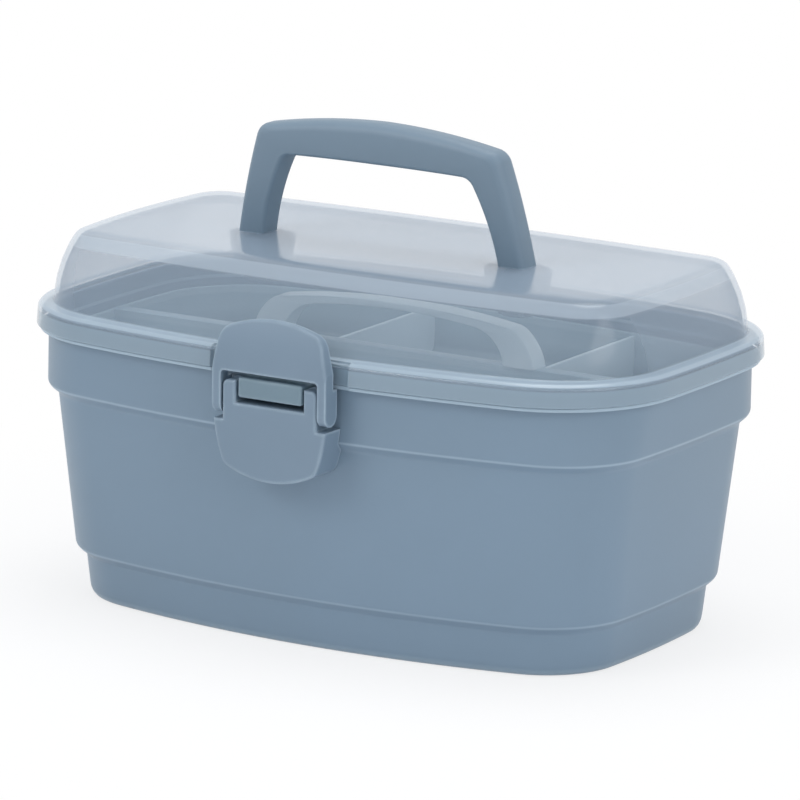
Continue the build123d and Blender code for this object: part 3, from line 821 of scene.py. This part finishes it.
def bentLine(top, leg, radius, topSteps, cornerSteps, legSteps):
    # top runs from the middle to the corner, leg from the corner to the foot; the corner is rounded
    topLength = lineLength(top)
    legLength = lineLength(leg)
    corner = Vector(top[-1])
    before = Vector(along(top, 1 - cornerSample / topLength))
    after = Vector(along(leg, cornerSample / legLength))
    turn = (before - corner).angle(after - corner)
    weight = math.sin(turn / 2)
    cutLength = radius / math.tan(turn / 2)
    topShare = 1 - cutLength / topLength
    legShare = cutLength / legLength
    a = Vector(along(top, topShare))
    b = Vector(along(leg, legShare))
    points = [along(top, topShare * i / topSteps) for i in range(topSteps)]
    for i in range(cornerSteps + 1):
        t = i / cornerSteps
        p = a * (1 - t) ** 2 + corner * (2 * t * (1 - t) * weight) + b * t ** 2
        p /= (1 - t) ** 2 + 2 * t * (1 - t) * weight + t ** 2
        points.append((p.x, p.y))
    points += [along(leg, legShare + (1 - legShare) * i / legSteps) for i in range(1, legSteps + 1)]
    return points


def archLine(handle, top, leg, corner):
    # the named arcs of a handle as one line, lifted to their place
    steps = handle["arcSteps"]
    line = bentLine(
        arcThrough(*handle[top], steps), arcThrough(*handle[leg], steps), handle[corner], *handle["lineSteps"]
    )
    return [(x, z + handle["arcsFrom"]) for x, z in line]


def archMesh(handle, profileAt):
    # profileAt gives the section's centre, depth, outer and inner edge radius at a height
    outer = archLine(handle, "outerTop", "outerLeg", "outerCorner")
    inner = archLine(handle, "innerTop", "innerLeg", "innerCorner")
    mirrored = [((-p[0], p[1]), (-q[0], q[1])) for p, q in zip(reversed(outer[1:]), reversed(inner[1:]))]
    bm = bmesh.new()
    rings = []
    for out, inn in mirrored + list(zip(outer, inner)):
        o = Vector((out[0], 0, out[1]))
        i = Vector((inn[0], 0, inn[1]))
        thick = (o - i).length
        across = (o - i).normalized()
        middle = (o + i) / 2
        centreY, depth, outerEdge, innerEdge = profileAt((out[1] + inn[1]) / 2)
        half = depth / 2
        ring = []
        for sx, sy, start in ((1, 1, 0), (-1, 1, 90), (-1, -1, 180), (1, -1, 270)):
            edge = outerEdge if sx > 0 else innerEdge
            for k in range(handle["edgeSteps"] + 1):
                t = math.radians(start + 90 * k / handle["edgeSteps"])
                u = sx * (thick / 2 - edge) + edge * math.cos(t)
                v = sy * (half - edge) + edge * math.sin(t)
                ring.append(bm.verts.new((middle + across * u + Vector((0, centreY + v, 0))) * mm))
        rings.append(ring)
    for low, high in zip(rings, rings[1:]):
        ringBand(bm, low, high)
    bm.faces.new(rings[0][::-1])
    bm.faces.new(rings[-1])
    bmesh.ops.recalc_face_normals(bm, faces=bm.faces)
    return meshObject("arch", bm)


carryHandle = {
    "arcsFrom": 151.6,
    "outerTop": ((0, 51.8), (29.0, 50.0), (56.2, 45.6)),
    "outerLeg": ((56.2, 45.6), (63.3, 20.0), (67.3, 0)),
    "innerTop": ((0, 35.3), (22.0, 35.2), (43.2, 34.7)),
    "innerLeg": ((43.2, 34.7), (51.0, 16.5), (54.9, 0)),
    "outerCorner": 6.5,
    "innerCorner": 6.0,
    "arcSteps": 24,
    "lineSteps": (18, 12, 16),
    "edgeSteps": 5,
    "gripRise": 44.0,
    "centreY": (-10.2, -14.2),  # this pair and the next two are at the foot and at the grip
    "depth": (12.0, 13.2),
    "outerEdge": (2.6, 4.6),
    "innerEdge": 1.8,
    "crease": 35,
}
peg = {  # under each foot, in its socket
    "x": 60.2,
    "half": 4,
    "y": (-11.5, -4.5),
    "z": (138.6, 151.7),
    "edge": (0.4, 2),
    "snapY": (-12.1, -3.9),
    "snapZ": (140.6, 142.6),
    "snapEdge": (0.2, 1),
}


def footToGrip(name, z):
    # a size that changes evenly from the foot to the grip
    low, high = carryHandle[name]
    share = min(max((z - carryHandle["arcsFrom"]) / carryHandle["gripRise"], 0.0), 1.0)
    return low + (high - low) * share


def carryProfile(z):
    centreY, depth, outerEdge = (footToGrip(name, z) for name in ("centreY", "depth", "outerEdge"))
    return centreY, depth, outerEdge, carryHandle["innerEdge"]


pieces = [archMesh(carryHandle, carryProfile)]
for side in (-1, 1):
    left = side * peg["x"] - peg["half"]
    right = side * peg["x"] + peg["half"]
    for name, y, z, edge in (("peg", "y", "z", "edge"), ("snap", "snapY", "snapZ", "snapEdge")):
        low = (left, peg[y][0], peg[z][0])
        high = (right, peg[y][1], peg[z][1])
        pieces.append(block(name, low, high, *peg[edge]))
carryArch = creased(joined("carryHandle", pieces), carryHandle["crease"])
dress(carryArch, "handle", "lid", "carry_handle")

trayHandle = {
    "arcsFrom": 0.0,
    "outerTop": ((0, 128.2), (29.0, 127.2), (56.0, 124.0)),
    "outerLeg": ((56.0, 124.0), (64.1, 115.5), (66.5, 108.5)),
    "innerTop": ((0, 125.2), (19.5, 124.6), (38.0, 122.8)),
    "innerLeg": ((38.0, 122.8), (49.0, 116.1), (52.0, 108.5)),
    "outerCorner": 8.0,
    "innerCorner": 10.0,
    "arcSteps": 20,
    "lineSteps": (16, 8, 14),
    "edgeSteps": 3,
    "depth": 10.0,
    "edge": 0.8,
    "tongueX": 59.25,
    "tongueHalf": 5.25,
    "tongueY": 1.55,
    "tongueZ": (100.5, 108.6),
    "crease": 35,
}


def trayArchProfile(z):
    return 0.0, trayHandle["depth"], trayHandle["edge"], trayHandle["edge"]


def tongueBlock(name, side, halfX, halfY, lowZ, highZ):
    # a block at the middle of one foot of the tray's handle
    x = side * trayHandle["tongueX"]
    return block(name, (x - halfX, -halfY, lowZ), (x + halfX, halfY, highZ))


pieces = [archMesh(trayHandle, trayArchProfile)]
tongueSize = (trayHandle["tongueHalf"], trayHandle["tongueY"], *trayHandle["tongueZ"])
for side in (-1, 1):
    pieces.append(tongueBlock("tongue", side, *tongueSize))
trayArch = creased(joined("trayHandle", pieces), trayHandle["crease"])
dress(trayArch, "arch", "tray", "tray_handle")
print("stage: handles")

# tray: it stands on the tub's inside steps, so its levels follow the tub's

tray = {
    "gap": 0.5,
    "wall": 1.6,
    "bottom": 62.0,
    "top": 108.5,
    "bottomRing": 10,
    "floorRing": 8,
    "bottomRounds": (4.0, 2.5),  # outside and inside
    "stepRound": 1.0,
    "rimRound": 0.6,
    "ridgeHalf": 3.5,
    "ridgeFoot": 0.6,
    "ridgeEdge": 0.5,
    "slotHalf": 74.5,  # the slot in the ridge takes the handle's tongues
    "slotY": 1.7,
    "slotZ": (60, 106.7),
    "mouthHalf": 5.4,
    "mouthZ": (105, 110),
    "dividerHalf": 0.9,
    "dividerTop": 107.5,
    "dividerFoot": 0.8,
    "dividerStart": 3.0,
    "dividerEdge": (0.4, 2),
    "rear": (-32.0, 65.0),
    "front": (-62.0,),
    "crease": 35,
}
seatLow = raised(tub["wallLow"], ledgeRise)
seatHigh = raised(tub["wallHigh"], ledgeRise)
seatBand = raised(tub["bandLow"], ledgeRise)
seatRim = inset(tub["rim"], tub["wall"])
trayRise = tray["wall"] * (math.sqrt(2) - 1)
outerLow = inset(atHeight(seatLow, seatHigh, tray["bottom"]), tray["gap"])
outerHigh = inset(seatHigh, tray["gap"])
outerBand = inset(seatBand, tray["gap"])
outerTop = inset(atHeight(seatBand, seatRim, tray["top"]), tray["gap"])
outerLevels = (outerLow, outerHigh, outerBand, outerTop)
bottomOutside, bottomInside = tray["bottomRounds"]
trayFloor = tray["bottom"] + tray["wall"]
trayPath = [
    (inset(outerLow, tray["bottomRing"]), 0),
    (outerLow, bottomOutside),
    (outerHigh, tray["stepRound"]),
    (outerBand, tray["stepRound"]),
    (outerTop, tray["rimRound"]),
    (inset(outerTop, tray["wall"]), tray["rimRound"]),
    (inset(outerBand, tray["wall"], outerBand[3] + trayRise), tray["stepRound"]),
    (inset(outerHigh, tray["wall"], outerHigh[3] + trayRise), tray["stepRound"]),
    (inset(outerLow, tray["wall"], trayFloor), bottomInside),
    (inset(outerLow, tray["wall"] + tray["floorRing"], trayFloor), 0),
]
trayBody = shell("trayBody", softened(trayPath))


def wallY(level, x):
    # the middle of the tray's long wall at x
    radius = bowRadius(level[0] - level[5], level[4])
    return level[1] - (radius - math.sqrt(radius * radius - x * x)) - tray["wall"] / 2


def slotTool():
    low, high = tray["slotZ"]
    return block("slot", (-tray["slotHalf"], -tray["slotY"], low), (tray["slotHalf"], tray["slotY"], high))


ridgeOutline = []
for level in outerLevels:
    ridgeOutline.append((level[0] - tray["wall"] / 2, max(level[3], tray["bottom"] + tray["ridgeFoot"])))
ridgeOutline += [(-x, z) for x, z in reversed(ridgeOutline)]
ridge = prism("ridge", ridgeOutline, "Y", -tray["ridgeHalf"], tray["ridgeHalf"], tray["ridgeEdge"])
ridgeSlot = slotTool()
mouths = [tongueBlock("slot", side, tray["mouthHalf"], tray["slotY"], *tray["mouthZ"]) for side in (-1, 1)]
cut(ridge, [ridgeSlot] + mouths)
cut(trayBody, [slotTool()])
dividers = []
for side, places in ((1, tray["rear"]), (-1, tray["front"])):
    for x in places:
        foot = tray["bottom"] + tray["dividerFoot"]
        outline = [(side * tray["dividerStart"], foot)]
        for level in outerLevels:
            outline.append((side * wallY(level, x), min(max(level[3], foot), tray["dividerTop"])))
        outline.append((side * tray["dividerStart"], tray["dividerTop"]))
        half = tray["dividerHalf"]
        dividers.append(prism("divider", outline, "X", x - half, x + half, *tray["dividerEdge"]))
dress(creased(joined("trayBasin", [trayBody, ridge]), tray["crease"]), "tray", "tray", "tray")
dress(creased(joined("trayDividers", dividers), tray["crease"]), "divider", "tray")
print("stage: tray")

# solid pieces kept from the frame, with their finish

keptNodes = {
    "latch_lever": "latch",
    "latch_bracket": "latch",
    "handle_socket_left": "socket",
    "handle_socket_right": "socket",
    "hinge_pin_left": "pin",
    "hinge_pin_right": "pin",
}
for nodeName, kind in keptNodes.items():
    coat(nodes[nodeName], kind)

# camera at the photograph's view

view = {
    "azimuth": 31.08,
    "elevation": 13.01,
    "roll": 0.857,
    "distance": 2.737,
    "target": (1.37, 0.0, 87.0),
    "focalPixels": 6758.0,
    "framePixels": 800,
    "sensor": 36.0,
    "clipEnd": 50.0,
}
az, el, roll = (math.radians(view[k]) for k in ("azimuth", "elevation", "roll"))
back = Vector((math.sin(az) * math.cos(el), -math.cos(az) * math.cos(el), math.sin(el)))
right = Vector((math.cos(az), math.sin(az), 0))
up = back.cross(right)
turnedRight = right * math.cos(roll) + up * math.sin(roll)
turnedUp = -right * math.sin(roll) + up * math.cos(roll)
camera = bpy.data.objects.new("photoCamera", bpy.data.cameras.new("photoCamera"))
bpy.context.scene.collection.objects.link(camera)
camera.data.sensor_width = view["sensor"]
camera.data.lens = view["focalPixels"] / view["framePixels"] * view["sensor"]
camera.data.clip_end = view["clipEnd"]
axes = Matrix((turnedRight, turnedUp, back)).transposed().to_4x4()
axes.translation = Vector(view["target"]) * mm + back * view["distance"]
camera.matrix_world = axes
bpy.context.scene.camera = camera

# floor, world and lights

stage = {
    "floorHalf": 3000,
    "floorZ": (-40, -0.2),
    "floorColour": (246, 247, 249),
    "floorRoughness": 0.9,
    "white": (1, 1, 1, 1),
    "nearWhite": 0.75,  # share of white in the floor beside the case, which rises to all of it
    "fadeStart": 0.12,
    "fadeEnd": 0.36,
    "worldColour": (235, 239, 244),
    "worldStrength": 0.62,
    "aim": (0, 0, 0.09),
}
lamps = {
    "keyFrontLeft": {"place": (-0.9, -1.6, 1.3), "size": 1.1, "power": 11.0},
    "fillRight": {"place": (1.7, -0.6, 0.9), "size": 1.2, "power": 8.5},
    "overhead": {"place": (0.0, 0.2, 1.9), "size": 1.4, "power": 14.0},
}


def shaderMix(tree, factor, first, second, target):
    # two shaders joined by a factor, into the tree's output
    mixer = tree.nodes.new("ShaderNodeMixShader")
    tree.links.new(factor, mixer.inputs["Fac"])
    tree.links.new(first.outputs[0], mixer.inputs[1])
    tree.links.new(second.outputs[0], mixer.inputs[2])
    tree.links.new(mixer.outputs[0], tree.nodes[target].inputs["Surface"])


def makeFloor():
    # pale ground that keeps the case's shadow and is seen as white further out
    half = stage["floorHalf"]
    low, high = stage["floorZ"]
    floor = block("floor", (-half, -half, low), (half, half, high))
    material = bpy.data.materials.new("paleFloor")
    material.use_nodes = True
    tree = material.node_tree
    ground = tree.nodes["Principled BSDF"]
    ground.inputs["Base Color"].default_value = srgb(*stage["floorColour"])
    ground.inputs["Roughness"].default_value = stage["floorRoughness"]
    coords = tree.nodes.new("ShaderNodeTexCoord")
    reach = tree.nodes.new("ShaderNodeVectorMath")
    reach.operation = "LENGTH"
    tree.links.new(coords.outputs["Object"], reach.inputs[0])
    fade = tree.nodes.new("ShaderNodeMapRange")
    fade.interpolation_type = "SMOOTHSTEP"
    fade.inputs["From Min"].default_value = stage["fadeStart"]
    fade.inputs["From Max"].default_value = stage["fadeEnd"]
    fade.inputs["To Min"].default_value = stage["nearWhite"]
    tree.links.new(reach.outputs["Value"], fade.inputs["Value"])
    paths = tree.nodes.new("ShaderNodeLightPath")
    seen = mathNode(tree, "MAXIMUM", paths.outputs["Is Camera Ray"], paths.outputs["Is Glossy Ray"])
    glow = tree.nodes.new("ShaderNodeEmission")
    glow.inputs["Color"].default_value = stage["white"]
    factor = mathNode(tree, "MULTIPLY", seen, fade.outputs["Result"])
    shaderMix(tree, factor, ground, glow, "Material Output")
    floor.data.materials.append(material)


def makeWorld():
    # a pale world for the light, and plain white for what is seen past the case
    world = bpy.data.worlds.new("studio")
    bpy.context.scene.world = world
    world.use_nodes = True
    tree = world.node_tree
    background = tree.nodes["Background"]
    background.inputs["Color"].default_value = srgb(*stage["worldColour"])
    background.inputs["Strength"].default_value = stage["worldStrength"]
    white = tree.nodes.new("ShaderNodeBackground")
    white.inputs["Color"].default_value = stage["white"]
    white.inputs["Strength"].default_value = 1.0
    paths = tree.nodes.new("ShaderNodeLightPath")
    seen = mathNode(tree, "MAXIMUM", paths.outputs["Is Camera Ray"], paths.outputs["Is Transmission Ray"])
    seen = mathNode(tree, "MAXIMUM", seen, paths.outputs["Is Glossy Ray"])
    shaderMix(tree, seen, background, white, "World Output")


def addLamp(name, lamp):
    data = bpy.data.lights.new(name, "AREA")
    data.shape = "DISK"
    data.size = lamp["size"]
    data.energy = lamp["power"]
    obj = bpy.data.objects.new(name, data)
    bpy.context.scene.collection.objects.link(obj)
    obj.location = lamp["place"]
    aim = Vector(stage["aim"]) - obj.location
    obj.rotation_euler = aim.to_track_quat("-Z", "Y").to_euler()


makeFloor()
makeWorld()
for lampName, lamp in lamps.items():
    addLamp(lampName, lamp)

bpy.context.scene.view_settings.view_transform = "Standard"
print("stage: camera and lights")
